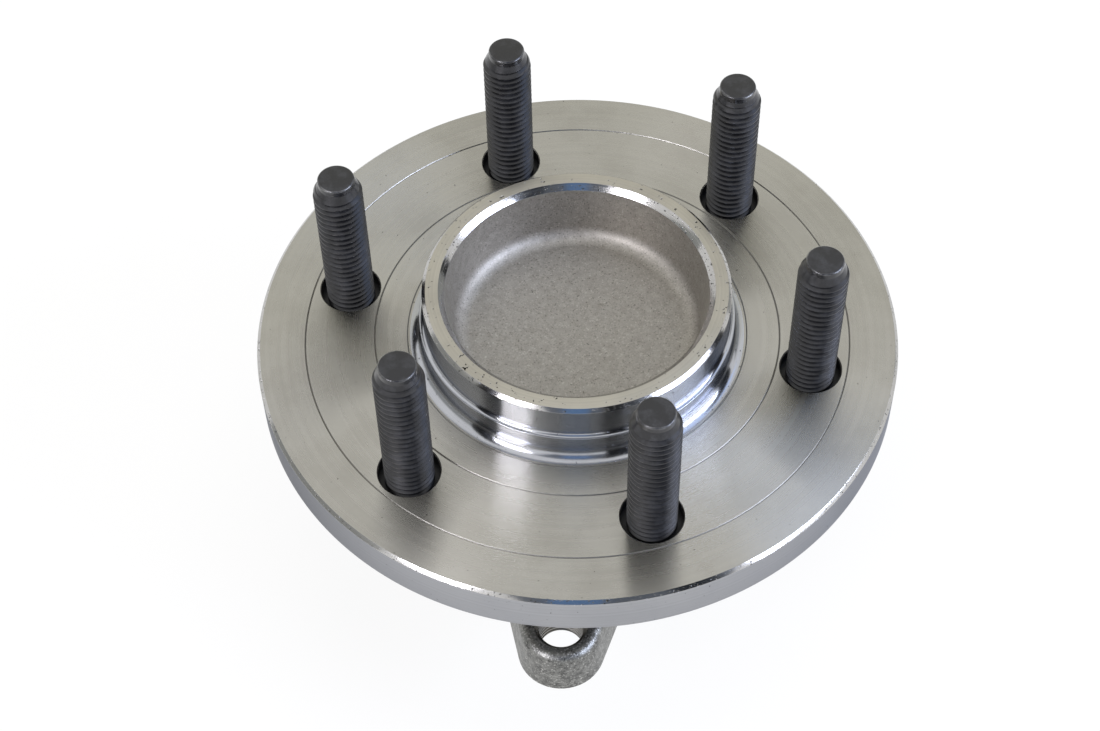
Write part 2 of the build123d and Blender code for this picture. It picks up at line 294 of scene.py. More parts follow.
@dataclass(frozen=True)
class Nodes:
    """The node tree of a material or of the world, while it is filled."""

    tree: NodeTree

    @classmethod
    def of(cls, block: Material | World) -> "Nodes":
        """Empties a node tree.

        Args:
            block: the material or world that holds it.

        Returns:
            The tree, ready to be filled.
        """
        block.use_nodes = True
        block.node_tree.nodes.clear()
        return cls(block.node_tree)

    def add(self, kind: str, inputs: Inputs | None = None, **settings: object) -> Node:
        """Adds a node, sets its properties, and fills or links its inputs.

        Args:
            kind: the node's type, without the ShaderNode before it.
            inputs: by name or number, a value, a hex colour, a socket, or a node for its first output.
            settings: the node's properties.

        Returns:
            The new node.
        """
        node = self.tree.nodes.new("ShaderNode" + kind)
        for name, value in settings.items():
            setattr(node, name, value)
        for key, value in (inputs or {}).items():
            if isinstance(value, Node):
                value = value.outputs[0]
            if isinstance(value, NodeSocket):
                self.tree.links.new(value, node.inputs[key])
            else:
                node.inputs[key].default_value = linear(value) if isinstance(value, str) else value
        return node

    def along(self, point: NodeSocket) -> Node:
        """How far a lathe tool has come at a point: its distance from the spin axis plus its height.

        Args:
            point: where the surface is.

        Returns:
            The node that gives it.
        """
        apart = self.add("SeparateXYZ", {0: point}).outputs
        flat = self.add("CombineXYZ", {0: apart[0], 1: apart[1]})
        radius = self.add("VectorMath", {0: flat}, operation="LENGTH").outputs["Value"]
        return self.add("Math", {0: radius, 1: apart[2]}, operation="ADD")

    def background(self) -> Node:
        """Tells the rays that show the background: seen, mirrored or through glass.

        Returns:
            A node that gives them 1.
        """
        rays = self.add("LightPath").outputs
        seen = self.add("Math", {0: rays["Is Camera Ray"], 1: rays["Is Glossy Ray"]}, operation="ADD")
        return self.add("Math", {0: seen, 1: rays["Is Transmission Ray"]}, operation="ADD", use_clamp=True)


@dataclass(frozen=True)
class Finish:
    """A finish of the hub unit, made into one material."""

    name: str
    colour: str

    def make(self) -> Material:
        """Makes the material.

        Returns:
            The material, with its nodes.
        """
        made = bpy.data.materials.new(self.name)
        made.diffuse_color = linear(self.colour)
        nodes = Nodes.of(made)
        shader = nodes.add("BsdfPrincipled", self.looks(nodes))
        nodes.add("OutputMaterial", {0: shader})
        return made

    def looks(self, nodes: Nodes) -> Inputs:
        """What this finish gives the shader, which each kind of finish says for itself."""
        raise NotImplementedError


@dataclass(frozen=True)
class TurnedSteel(Finish):
    """Bearing steel off the lathe or the grinder: rings about the axis, which draw each highlight out."""

    stain: str = "#96928A"
    dirt: str = "#2A2824"
    # the colour that the rings darken towards: painted shade in the feed grooves
    groove: str = "#6E6B66"
    ring_pitch: float = 0.7 * MM
    ring_depth: float = 0.0006 * MM
    ring_tone: float = 0.12
    roughness: float = 0.3
    roughness_change: float = 0.06
    anisotropy: float = 0.85
    stain_size: float = 22 * MM
    stain_share: float = 0.35
    speck_size: float = 0.9 * MM
    speck_level: float = 1.0
    nick_depth: float = 0.0
    edge_tint: str = "#FFFFFF"

    def looks(self, nodes: Nodes) -> Inputs:
        """Rings in painted groove shade, gloss and bump, with faint handling stains and dark specks of dirt.

        Args:
            nodes: the material's nodes.

        Returns:
            The shader's inputs.
        """
        point = nodes.add("TexCoord").outputs["Object"]
        feed = {"W": nodes.along(point), "Scale": 1 / self.ring_pitch, "Detail": 1.5, "Roughness": 0.6}
        rings = nodes.add("TexNoise", feed, noise_dimensions="1D")
        cloud = nodes.add("TexNoise", {"Vector": point, "Scale": 1 / self.stain_size, **CLOUDY})
        worn = nodes.add("MapRange", {0: cloud, 1: 0.44, 2: 0.7, 4: self.stain_share})
        stained = nodes.add("Mix", {0: worn, 6: self.colour, 7: self.stain}, data_type="RGBA").outputs[MIXED]
        # The rings darken towards the groove colour: painted shade in the grooves.
        darker = nodes.add("MapRange", {0: rings, **SPAN, 4: self.ring_tone})
        groove_shaded = nodes.add("Mix", {0: darker, 6: stained, 7: self.groove}, data_type="RGBA").outputs[MIXED]
        spots = nodes.add("TexNoise", {"Vector": point, "Scale": 1 / self.speck_size})
        dirty = nodes.add("MapRange", {0: spots, 1: self.speck_level, 2: self.speck_level + 0.03})
        tone = nodes.add("Mix", {0: dirty, 6: groove_shaded, 7: self.dirt}, data_type="RGBA").outputs[MIXED]
        gloss = nodes.add("Math", {0: rings, 1: cloud}, operation="ADD")
        low, high = self.roughness - self.roughness_change, self.roughness + self.roughness_change
        rough = nodes.add("MapRange", {0: gloss, 1: 0.7, 2: 1.3, 3: low, 4: high})
        scratched = nodes.add("Bump", {"Height": rings, "Distance": self.ring_depth})
        dents = {"Height": dirty, "Distance": self.nick_depth, "Normal": scratched}
        nicked = nodes.add("Bump", dents, invert=True)
        shown = {"Base Color": tone, "Metallic": 1.0, "Roughness": rough, "Normal": nicked}
        shown["Specular Tint"] = self.edge_tint
        if self.anisotropy:
            around = nodes.add("VectorMath", {0: (0, 0, 1), 1: point}, operation="CROSS_PRODUCT")
            spaces = {"vector_type": "VECTOR", "convert_from": "OBJECT", "convert_to": "WORLD"}
            shown["Tangent"] = nodes.add("VectorTransform", {0: around}, **spaces)
            shown["Anisotropic"] = self.anisotropy
            shown["Anisotropic Rotation"] = 0.25
        return shown


@dataclass(frozen=True)
class BlastedForging(Finish):
    """A forged steel skin after shot blasting: fine bright and dark grains, and no sharp reflection."""

    shade: str = "#9A968E"
    bright: str = "#CBC6BC"
    pepper: str = "#5A5650"
    grain_size: float = 0.5 * MM
    grain_depth: float = 0.035 * MM
    blotch_size: float = 2.4 * MM
    wave_size: float = 9 * MM
    wave_depth: float = 0.06 * MM
    roughness: float = 0.54
    metallic: float = 1.0

    def looks(self, nodes: Nodes) -> Inputs:
        """Shot marks as bright and dark grains, on blotches of scale and low waves.

        Args:
            nodes: the material's nodes.

        Returns:
            The shader's inputs.
        """
        point = nodes.add("TexCoord").outputs["Object"]
        shots = nodes.add("TexNoise", {"Vector": point, "Scale": 1 / self.grain_size, **GRAINY})
        waves = nodes.add("TexNoise", {"Vector": point, "Scale": 1 / self.wave_size, "Detail": 3.0})
        scale = {"Vector": point, "Scale": 1 / self.blotch_size, "Detail": 5.0, "Roughness": 0.7}
        blotches = nodes.add("MapRange", {0: nodes.add("TexNoise", scale), 1: 0.35, 2: 0.65})
        base = nodes.add("Mix", {0: blotches, 6: self.shade, 7: self.colour}, data_type="RGBA").outputs[MIXED]
        sparkle = nodes.add("MapRange", {0: shots, 1: 0.57, 2: 0.72, 4: 0.8})
        lit = nodes.add("Mix", {0: sparkle, 6: base, 7: self.bright}, data_type="RGBA").outputs[MIXED]
        pits = nodes.add("MapRange", {0: shots, 1: 0.42, 2: 0.3, 4: 0.8})
        tone = nodes.add("Mix", {0: pits, 6: lit, 7: self.pepper}, data_type="RGBA").outputs[MIXED]
        rough = nodes.add("MapRange", {0: shots, **SPAN, 3: self.roughness - 0.08, 4: self.roughness + 0.1})
        wavy = nodes.add("Bump", {"Height": waves, "Distance": self.wave_depth})
        peened = nodes.add("Bump", {"Height": shots, "Distance": self.grain_depth, "Normal": wavy})
        return {"Base Color": tone, "Metallic": self.metallic, "Roughness": rough, "Normal": peened}


@dataclass(frozen=True)
class PhosphatedSteel(Finish):
    """Manganese phosphate on steel, lightly oiled: near black with a soft sheen and paler rubbed grains."""

    rubbed: str
    roughness: float = 0.4
    coat: float = 0.6
    coat_roughness: float = 0.2
    metallic: float = 0.45
    crystal_size: float = 0.35 * MM
    crystal_depth: float = 0.015 * MM
    patch_size: float = 4 * MM

    def looks(self, nodes: Nodes) -> Inputs:
        """Crystal grain, rubbed in patches, under a film of oil.

        Args:
            nodes: the material's nodes.

        Returns:
            The shader's inputs.
        """
        point = nodes.add("TexCoord").outputs["Object"]
        crystals = nodes.add("TexNoise", {"Vector": point, "Scale": 1 / self.crystal_size, **GRAINY})
        cloud = nodes.add("TexNoise", {"Vector": point, "Scale": 1 / self.patch_size, **GRAINY})
        patches = nodes.add("MapRange", {0: cloud, 1: 0.45, 2: 0.75})
        share = nodes.add("Math", {0: crystals, 1: patches}, operation="MULTIPLY")
        tone = nodes.add("Mix", {0: share, 6: self.colour, 7: self.rubbed}, data_type="RGBA").outputs[MIXED]
        rough = nodes.add("MapRange", {0: cloud, **SPAN, 3: self.roughness - 0.08, 4: self.roughness + 0.08})
        grainy = nodes.add("Bump", {"Height": crystals, "Distance": self.crystal_depth})
        shown = {"Base Color": tone, "Metallic": self.metallic, "Roughness": rough, "Normal": grainy}
        return shown | {"Coat Weight": self.coat, "Coat Roughness": self.coat_roughness}


@dataclass(frozen=True)
class SheetSteel(Finish):
    """Bare steel sheet or a cut thread: fine grain, faint rings of the tool, soft gloss."""

    roughness: float = 0.28
    shade: str = "#7C7B78"
    ring_pitch: float = 1.3 * MM
    ring_depth: float = 0.002 * MM
    grain_size: float = 8 * MM

    def looks(self, nodes: Nodes) -> Inputs:
        """Drawing rings, and a fine change of tone and gloss.

        Args:
            nodes: the material's nodes.

        Returns:
            The shader's inputs.
        """
        point = nodes.add("TexCoord").outputs["Object"]
        feed = {"W": nodes.along(point), "Scale": 1 / self.ring_pitch}
        rings = nodes.add("TexNoise", feed, noise_dimensions="1D")
        cloud = nodes.add("TexNoise", {"Vector": point, "Scale": 1 / self.grain_size, **CLOUDY})
        half = nodes.add("Math", {0: cloud, 1: 0.5}, operation="MULTIPLY")
        tone = nodes.add("Mix", {0: half, 6: self.colour, 7: self.shade}, data_type="RGBA").outputs[MIXED]
        rough = nodes.add("MapRange", {0: cloud, **SPAN, 3: self.roughness - 0.07, 4: self.roughness + 0.09})
        drawn = nodes.add("Bump", {"Height": rings, "Distance": self.ring_depth})
        return {"Base Color": tone, "Metallic": 1.0, "Roughness": rough, "Normal": drawn}


@dataclass(frozen=True)
class MouldedRubber(Finish):
    """Nitrile rubber from a polished mould, with a bloom that dulls it."""

    roughness: float = 0.55
    dust: str = "#4A4846"
    bloom_size: float = 3 * MM
    pore_size: float = 0.3 * MM
    pore_depth: float = 0.01 * MM

    def looks(self, nodes: Nodes) -> Inputs:
        """A dusty bloom and a fine skin.

        Args:
            nodes: the material's nodes.

        Returns:
            The shader's inputs.
        """
        point = nodes.add("TexCoord").outputs["Object"]
        bloom = nodes.add("TexNoise", {"Vector": point, "Scale": 1 / self.bloom_size, **CLOUDY})
        skin = nodes.add("TexNoise", {"Vector": point, "Scale": 1 / self.pore_size})
        dusty = nodes.add("MapRange", {0: bloom, 1: 0.5, 2: 0.8, 4: 0.35})
        tone = nodes.add("Mix", {0: dusty, 6: self.colour, 7: self.dust}, data_type="RGBA").outputs[MIXED]
        rough = nodes.add("MapRange", {0: bloom, **SPAN, 3: self.roughness - 0.1, 4: self.roughness + 0.15})
        pores = nodes.add("Bump", {"Height": skin, "Distance": self.pore_depth})
        return {"Base Color": tone, "Roughness": rough, "Normal": pores}


@dataclass(frozen=True)
class MouldedPolyamide(Finish):
    """Glass-filled polyamide as moulded: waxy, with a faint flow pattern of its fibres."""

    fibre: str = "#B9A476"
    glossy: float = 0.38
    dull: float = 0.55
    flow_size: float = 2.5 * MM
    flow_depth: float = 0.02 * MM
    light_depth: float = 1 * MM

    def looks(self, nodes: Nodes) -> Inputs:
        """Flow marks, and light that sinks in a little.

        Args:
            nodes: the material's nodes.

        Returns:
            The shader's inputs.
        """
        point = nodes.add("TexCoord").outputs["Object"]
        melt = {"Vector": point, "Scale": 1 / self.flow_size, "Detail": 4.0, "Roughness": 0.65}
        flow = nodes.add("TexNoise", melt)
        tone = nodes.add("Mix", {0: flow, 6: self.colour, 7: self.fibre}, data_type="RGBA").outputs[MIXED]
        rough = nodes.add("MapRange", {0: flow, **SPAN, 3: self.glossy, 4: self.dull})
        marks = nodes.add("Bump", {"Height": flow, "Distance": self.flow_depth})
        shown = {"Base Color": tone, "Roughness": rough, "Normal": marks}
        return shown | {"Subsurface Weight": 0.1, "Subsurface Scale": self.light_depth}


class Skin(Enum):
    """The finishes of the hub unit, by the name of what wears them."""

    # Faced on a lathe: the feed rings spread each lamp into a soft fan across the face. Real feed marks are
    # about 0.2 mm apart, too fine to show, so these are drawn 1.6 mm apart.
    FACE = TurnedSteel(
        "turned_bearing_steel", "#B3B1AA", ring_pitch=1.6 * MM, ring_depth=0.0002 * MM, ring_tone=0.05,
        roughness=0.27, roughness_change=0.015, anisotropy=0.97, speck_level=0.735,
    )
    # Ground to size: it mirrors the room in clear bands, a little drawn out. The real marks are finer.
    PILOT = TurnedSteel(
        "ground_bearing_steel", "#B9BBC0", stain="#9FA1A6", ring_pitch=0.5 * MM, ring_depth=0.0004 * MM,
        ring_tone=0.05, roughness=0.19, roughness_change=0.03, stain_share=0.25, edge_tint="#A0A2A8",
        speck_size=0.8 * MM, speck_level=0.7, nick_depth=0.05 * MM,
    )
    # Chamfers take the knocks: a narrow bright mirror, broken by small nicks.
    EDGE = TurnedSteel(
        "chamfered_edge_with_nicks", "#BDBCBA", stain="#A3A19D", dirt="#55534F", roughness=0.15,
        anisotropy=0.3, ring_tone=0.03, speck_size=0.7 * MM, speck_level=0.64, nick_depth=0.12 * MM,
    )
    # The tool's point tears the bottom of a scribed line, so it is rougher than the face, and its colour is
    # painted darker than the face's as shade in the V.
    LINE = TurnedSteel("scribed_line_steel", "#A19F99", roughness=0.4, anisotropy=0.4, ring_tone=0.03)
    # Forged and shot blasted: an even matt grey of fine grains, with a soft light along the fillet. Real
    # shot leaves dents of about 0.2 mm, drawn here 0.5 mm wide.
    CUP = BlastedForging("shot_blasted_forging", "#A8A49C")
    # Turned, and not ground like the wall below it: satin and warmer, with dirt in its nicks.
    PILOT_END = TurnedSteel(
        "turned_pilot_end", "#B9B5AA", roughness=0.34, anisotropy=0.5, speck_size=1.0 * MM, speck_level=0.68,
        nick_depth=0.08 * MM,
    )
    # Turned and only ever seen side on: an even satin grey.
    RIM = TurnedSteel(
        "turned_rim_steel", "#B2B3B6", stain="#A1A2A6", roughness=0.34, anisotropy=0.6, edge_tint="#8F9196",
        speck_level=0.735,
    )
    # Painted shade: a near-black skin inside each stud's mouth and on the stud's shoulder deep in its hole,
    # where the hole's shade falls, so each stud stands in a nearly black ring.
    BORE = PhosphatedSteel("painted_shade_stud_bore", "#0B0B0B", "#191918", coat=0.08)
    # Forging scale, blasted but kept: blotched dark and pale grey, with grains that sparkle.
    FORGING = BlastedForging(
        "forged_steel_with_scale", "#8E8E8A", shade="#5C5C5A", bright="#CFCDC8", pepper="#302F2D",
        grain_size=0.6 * MM, grain_depth=0.1 * MM, wave_depth=0.2 * MM, roughness=0.38, metallic=0.9,
    )
    # Cut by a tap and left bare: its flanks catch the light one by one.
    THREAD = SheetSteel("cut_thread_steel", "#8E8C87", roughness=0.3)
    # Phosphate crystals that hold oil: near black with a soft sheen. The real ones are about 0.02 mm, far too
    # fine to show, so they are drawn 0.35 mm wide.
    STUD = PhosphatedSteel("phosphated_stud_steel", "#17171A", "#3F4044", roughness=0.36, coat=0.55)
    # Partly rubbed almost through to the steel, partly a painted highlight where the nose's rounded edge
    # catches the light: a paler rim round each stud's nose.
    STUD_EDGE = PhosphatedSteel("rubbed_and_highlit_stud_edge", "#2C2C2E", "#90908E", roughness=0.32)
    # Lapped: a clear mirror with no rings.
    BALL = TurnedSteel(
        "polished_ball_steel", "#CDCCC9", ring_depth=0.0, ring_tone=0.0, roughness=0.06,
        roughness_change=0.03, anisotropy=0.0, stain_share=0.1,
    )
    # Cold rolled and pressed: a dull silver.
    SEAL_STEEL = SheetSteel("cold_rolled_seal_case", "#A5A29B")
    # Deep drawn from bright sheet: paler and glossier, with faint drawing rings.
    STAINLESS = SheetSteel("deep_drawn_stainless", "#B7B5B0", roughness=0.22)
    # Moulded, then dulled by its own bloom: a dusty black.
    RUBBER = MouldedRubber("moulded_nitrile", "#1E1D1C")
    # Rubber full of ferrite powder: brown-black and duller still.
    MAGNET = MouldedRubber("ferrite_filled_rubber", "#2B2622", roughness=0.6)
    # Cream and waxy: light sinks in a little.
    CAGE = MouldedPolyamide("glass_filled_polyamide", "#D8C79C")


@cache
def material(skin: Skin) -> Material:
    """The material of a finish, made once."""
    return skin.value.make()


def wear(piece: Object, skins: list[Skin]) -> None:
    """Gives a piece a material slot for each finish.

    Args:
        piece: the piece.
        skins: the finishes that its faces choose from.
    """
    piece.data.materials.clear()
    for skin in skins:
        piece.data.materials.append(material(skin))


def refinish(node: Object, skin: Skin) -> None:
    """Gives a node of the frame one finish all over, in every material slot that it has.

    Args:
        node: the node's object.
        skin: the finish.
    """
    if not node.material_slots:
        node.data.materials.append(material(skin))
    for slot in node.material_slots:
        slot.material = material(skin)


def mount(name: str) -> dict:
    """The record's entry for one mount, with its dims in millimetres."""
    return next(entry for entry in frame["record"]["mounts"] if entry["name"] == name)


def mount_size(name: str, key: str) -> float:
    """One size of a mount, in metres."""
    return mount(name)["dims"][key] * MM


def mount_height(name: str) -> float:
    """The height of a mount, in metres."""
    return mount(name)["pos_m"][2]


def middle(node: str) -> Vector:
    """The middle of a node's box, in metres."""
    low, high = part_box(node)
    return (low + high) / 2


def stud_places() -> list[Vector]:
    """The middle of each wheel stud."""
    return [middle(f"wheel_stud_{number + 1}") for number in range(mount("wheel_studs")["dims"]["count"])]


def flange_back() -> float:
    """The height of the flange's back face, where the stud heads seat."""
    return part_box("wheel_stud_1")[0].z + STUD_HEAD_HEIGHT


@dataclass(frozen=True)
class HubZones:
    """Where the finishes of the hub end: radii from the spin axis, heights, and how far up a face looks."""

    rim_r: float
    pilot_foot_r: float
    cup_r: float
    cup_top: float
    pilot_top: float
    edge_low: float
    line_top: float
    hidden: float
    # how far from a stud's axis its mouth takes the near-black painted shade
    shaded_bore_r: float
    studs: list[Vector]
    level: float = 0.95
    nearly_level: float = 0.9
    nearly_upright: float = 0.2

    def skin(self, face: MeshPolygon) -> Skin:
        """The finish of one face, by where it lies and which way it looks.

        Args:
            face: the face.

        Returns:
            Its finish.
        """
        place, upward = face.center, face.normal.z
        radius = math.hypot(place.x, place.y)
        sloped = self.nearly_upright < upward < self.level
        if radius > self.rim_r:
            return Skin.EDGE if sloped else Skin.RIM
        if place.z > self.edge_low and sloped:
            return Skin.EDGE
        if place.z < self.hidden:
            # A stud's mouth takes the near-black painted shade of the hole.
            beside_stud = any(math.dist(place[:2], stud[:2]) < self.shaded_bore_r for stud in self.studs)
            return Skin.BORE if beside_stud and upward > -self.nearly_level else Skin.FACE
        if radius < self.cup_r and place.z < self.cup_top:
            return Skin.CUP
        if radius > self.pilot_foot_r and place.z < self.line_top and upward < self.nearly_level:
            return Skin.LINE
        if place.z > self.pilot_top and upward > self.level:
            return Skin.PILOT_END
        return Skin.PILOT if radius < self.pilot_foot_r else Skin.FACE


@dataclass
class HubForging:
    """The forged hub: wheel flange, stepped pilot, cup, seal land, raceway, spindle and rolled collar."""

    segments: int = 360
    wear_round: float = 0.12 * MM
    rim_chamfer: float = 0.95 * MM
    back_break: float = 0.5 * MM
    pilot_chamfer: float = 1.0 * MM
    pilot_wall: float = 6.2 * MM
    bore_chamfer: float = 1.6 * MM
    brake_pilot_height: float = 7.7 * MM
    pilot_root: float = 1.15 * MM
    brake_root: float = 3.0 * MM
    relief_width: float = 3.9 * MM
    relief_depth: float = 0.3 * MM
    cup_floor: float = -0.3 * MM
    cup_draft: float = math.radians(8)
    cup_fillet: float = 5 * MM
    inner_line_inset: float = 9.6 * MM
    outer_line_outset: float = 10.25 * MM
    line_width: float = 0.5 * MM
    line_depth: float = 0.3 * MM
    shoulder_clearance: float = 1.05 * MM
    mouth_clearance: float = 0.65 * MM
    mouth_depth: float = 3.6 * MM
    mouth_chamfer: float = 0.3 * MM
    mouth_segments: int = 72
    drill_over: float = 1 * MM
    neck_round: float = 3.6 * MM
    seal_land: float = 38.45 * MM
    shoulder: float = 2.1 * MM
    low_lip: float = 0.4 * MM
    race_gap: float = 0.15 * MM
    race_steps: int = 14
    ring_wall: float = 4.4 * MM
    ring_chamfer: float = 1.5 * MM
    spindle_root: float = 1.0 * MM
    collar_rim: float = 7 * MM
    collar_round: float = 2.5 * MM
    spindle_wall: float = 9 * MM
    recess_depth: float = 16 * MM
    recess_round: float = 3 * MM
    skin_depth: float = 0.01 * MM

    def _line(self, radius: float) -> list[Corner]:
        """The V of one fine turned line in the wheel face: its three corners."""
        half = self.line_width / 2
        return [(radius - half, 0, 0), (radius, -self.line_depth, 0), (radius + half, 0, 0)]

    def _groove_r(self) -> float:
        """The radius of the ball groove's section."""
        low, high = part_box("outboard_ball_01")
        return (high.z - low.z) / 2 + self.race_gap

    def _raceway(self, shoulder_r: float, land_r: float) -> list[Corner]:
        """The ball groove of the outboard row, from its high shoulder down to its low land.

        Args:
            shoulder_r: the radius above the groove.
            land_r: the radius below the groove.

        Returns:
            Points along the groove.
        """
        ball, groove_r = middle("outboard_ball_01"), self._groove_r()
        first = math.pi - math.acos((ball.x - shoulder_r) / groove_r)
        last = math.pi + math.acos((ball.x - land_r) / groove_r)
        angles = (first + (last - first) * n / self.race_steps for n in range(self.race_steps + 1))
        return [(ball.x + groove_r * math.cos(a), ball.z + groove_r * math.sin(a), 0) for a in angles]

    def outline(self) -> Outline:
        """Draws the hub's half section.

        Returns:
            The section, from the middle of the cup round to the middle of the spindle's recess.
        """
        low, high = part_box("hub_flange")
        edge = self.wear_round
        pilot_r = mount_size("wheel_pilot", "r_mm")
        brake_r = mount_size("brake_pilot", "r_mm")
        stud_circle_r = mount_size("wheel_studs", "pcd_mm") / 2
        flange_r = high.x
        mouth_r = pilot_r - self.pilot_wall
        mouth_z = high.z - self.bore_chamfer
        foot_r = mouth_r - (mouth_z - self.cup_floor) * math.tan(self.cup_draft)
        back = flange_back()
        ball = middle("outboard_ball_01")
        shoulder_r = ball.x - self.shoulder
        land_r = ball.x - self._groove_r() + self.low_lip
        seat_r = ball.x - self._groove_r() - self.ring_wall
        seal_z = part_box("outboard_seal_case")[0].z
        ring_low, ring_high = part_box("inner_ring")
        recess_r = seat_r - self.spindle_wall
        corners = [
            (0, self.cup_floor, 0),
            (foot_r, self.cup_floor, self.cup_fillet),
            (mouth_r, mouth_z, edge),
            (mouth_r + self.bore_chamfer, high.z, edge),
            (pilot_r - self.pilot_chamfer, high.z, edge),
            (pilot_r, high.z - self.pilot_chamfer, edge),
            (pilot_r, self.brake_pilot_height, self.pilot_root),
            (brake_r, self.brake_pilot_height, edge),
            (brake_r, -self.relief_depth, self.brake_root),
            (brake_r + self.relief_width - self.relief_depth, -self.relief_depth, edge),
            (brake_r + self.relief_width, 0, edge),
            *self._line(stud_circle_r - self.inner_line_inset),
            *self._line(stud_circle_r + self.outer_line_outset),
            (flange_r - self.rim_chamfer, 0, edge),
            (flange_r, -self.rim_chamfer, edge),
            (flange_r, back + self.back_break, edge),
            (flange_r - self.back_break, back, edge),
            (self.seal_land, back, self.neck_round),
            (self.seal_land, seal_z, edge),
            (shoulder_r, seal_z, edge),
            *self._raceway(shoulder_r, land_r),
            (land_r, ring_high.z, 0),
            (seat_r, ring_high.z, self.spindle_root),
            (seat_r, ring_low.z + self.ring_chamfer, 0),
            (seat_r + self.ring_chamfer, ring_low.z, 0),
            (seat_r + self.collar_rim, ring_low.z, 0),
            (seat_r + self.collar_rim, low.z, self.collar_round),
            (recess_r, low.z, self.collar_round),
            (recess_r, low.z + self.recess_depth, self.recess_round),
            (0, low.z + self.recess_depth, 0),
        ]
        return Outline(corners)

    def _mouth_cutter(self) -> Object:
        """Makes what the drill and the countersink take out for one stud.

        Returns:
            The cutter: mouth above, shoulder bore below.
        """
        bore_r = mount_size("wheel_studs", "stud_r_mm") + self.shoulder_clearance
        mouth_r = bore_r + self.mouth_clearance
        end = flange_back() - self.drill_over
        corners = [
            (0, self.drill_over, 0),
            (mouth_r + self.mouth_chamfer + self.drill_over, self.drill_over, 0),
            (mouth_r, -self.mouth_chamfer, 0),
            (mouth_r, -self.mouth_depth, 0),
            (bore_r, -self.mouth_depth, 0),
            (bore_r, end, 0),
            (0, end, 0),
        ]
        return Outline(corners).turned("mouth_cutter", self.mouth_segments)

    def build(self) -> Object:
        """Turns the hub, drills it for the studs and gives each face its finish.

        Returns:
            The finished piece.
        """
        hub = self.outline().turned("hub_forging", self.segments)
        cutter = self._mouth_cutter()
        studs = stud_places()
        for number, place in enumerate(studs):
            one = copy_of(cutter, f"mouth_cutter_{number + 1}")
            move(one, Vector((place.x, place.y, 0)))
            cut_away(hub, one)
        bpy.data.objects.remove(cutter)
        smooth(hub, TURNED_ANGLE)
        self._dress(hub, studs)
        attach(hub, "hub")
        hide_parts("hub_flange")
        return hub

    def _dress(self, hub: Object, studs: list[Vector]) -> None:
        """Gives each face of the hub its finish.

        Args:
            hub: the finished mesh.
            studs: where the wheel studs stand.
        """
        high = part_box("hub_flange")[1]
        mouth_r = mount_size("wheel_studs", "stud_r_mm") + self.shoulder_clearance + self.mouth_clearance
        zones = HubZones(
            rim_r=high.x - self.rim_chamfer,
            pilot_foot_r=mount_size("brake_pilot", "r_mm") + self.brake_root,
            cup_r=mount_size("wheel_pilot", "r_mm") - self.pilot_wall,
            cup_top=high.z - self.bore_chamfer,
            pilot_top=high.z - self.wear_round,
            edge_low=high.z - self.pilot_chamfer,
            line_top=-self.line_depth / 4,
            hidden=self.cup_floor - self.wear_round,
            shaded_bore_r=mouth_r + self.skin_depth,
            studs=studs,
        )
        skins = [Skin.FACE, Skin.PILOT, Skin.EDGE, Skin.LINE, Skin.CUP, Skin.PILOT_END, Skin.RIM, Skin.BORE]
        wear(hub, skins)
        for face in hub.data.polygons:
            face.material_index = skins.index(zones.skin(face))


